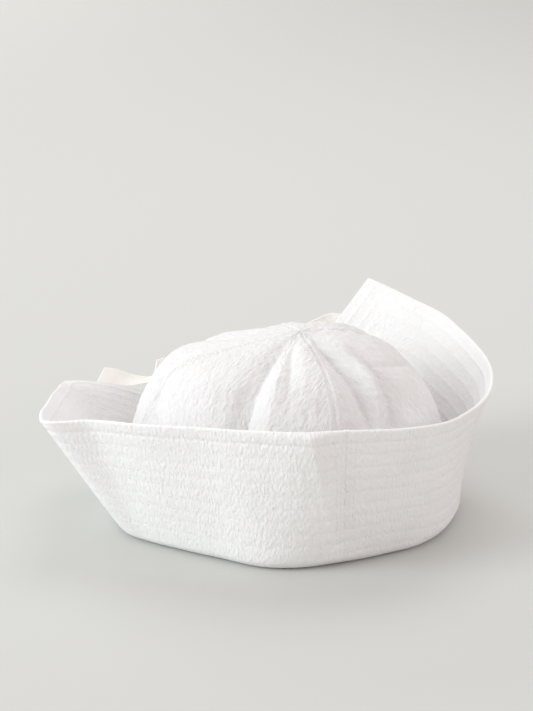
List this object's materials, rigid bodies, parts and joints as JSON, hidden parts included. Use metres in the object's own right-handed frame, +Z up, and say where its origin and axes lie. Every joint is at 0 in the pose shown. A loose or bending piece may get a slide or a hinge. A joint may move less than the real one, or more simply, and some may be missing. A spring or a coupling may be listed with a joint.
{
  "type": "sailor cap",
  "caption": "Soft white cotton sailor cap with a domed crown of sewn gores, a stitched turned-up brim split at the back with pointed corners, and tape ties knotted across the split.",
  "frame": {"origin": "centre of the bounding box at the table that the cap stands on", "axes": "+Z up through the crown, -Y toward the front seam of the brim, +Y toward the split at the back"},
  "size_m": [0.2654, 0.2598, 0.1111],
  "materials": {
    "stitched_brim_cotton": "matte white cotton, puckered, with rows of stitching",
    "crinkled_crown_cotton": "matte white crinkled cotton",
    "twill_tape": "matte cream twill tape"
  },
  "bodies": {
    "root": {"brim_left": "stitched_brim_cotton", "brim_right": "stitched_brim_cotton", "crown_panel_front_left": "crinkled_crown_cotton", "crown_panel_front_right": "crinkled_crown_cotton", "crown_panel_back_left": "crinkled_crown_cotton", "crown_panel_back_right": "crinkled_crown_cotton", "tie_strap_left": "twill_tape", "tie_strap_right": "twill_tape", "tie_end_long": "twill_tape", "tie_end_short": "twill_tape", "tie_knot": "twill_tape"}
  },
  "joints": []
}
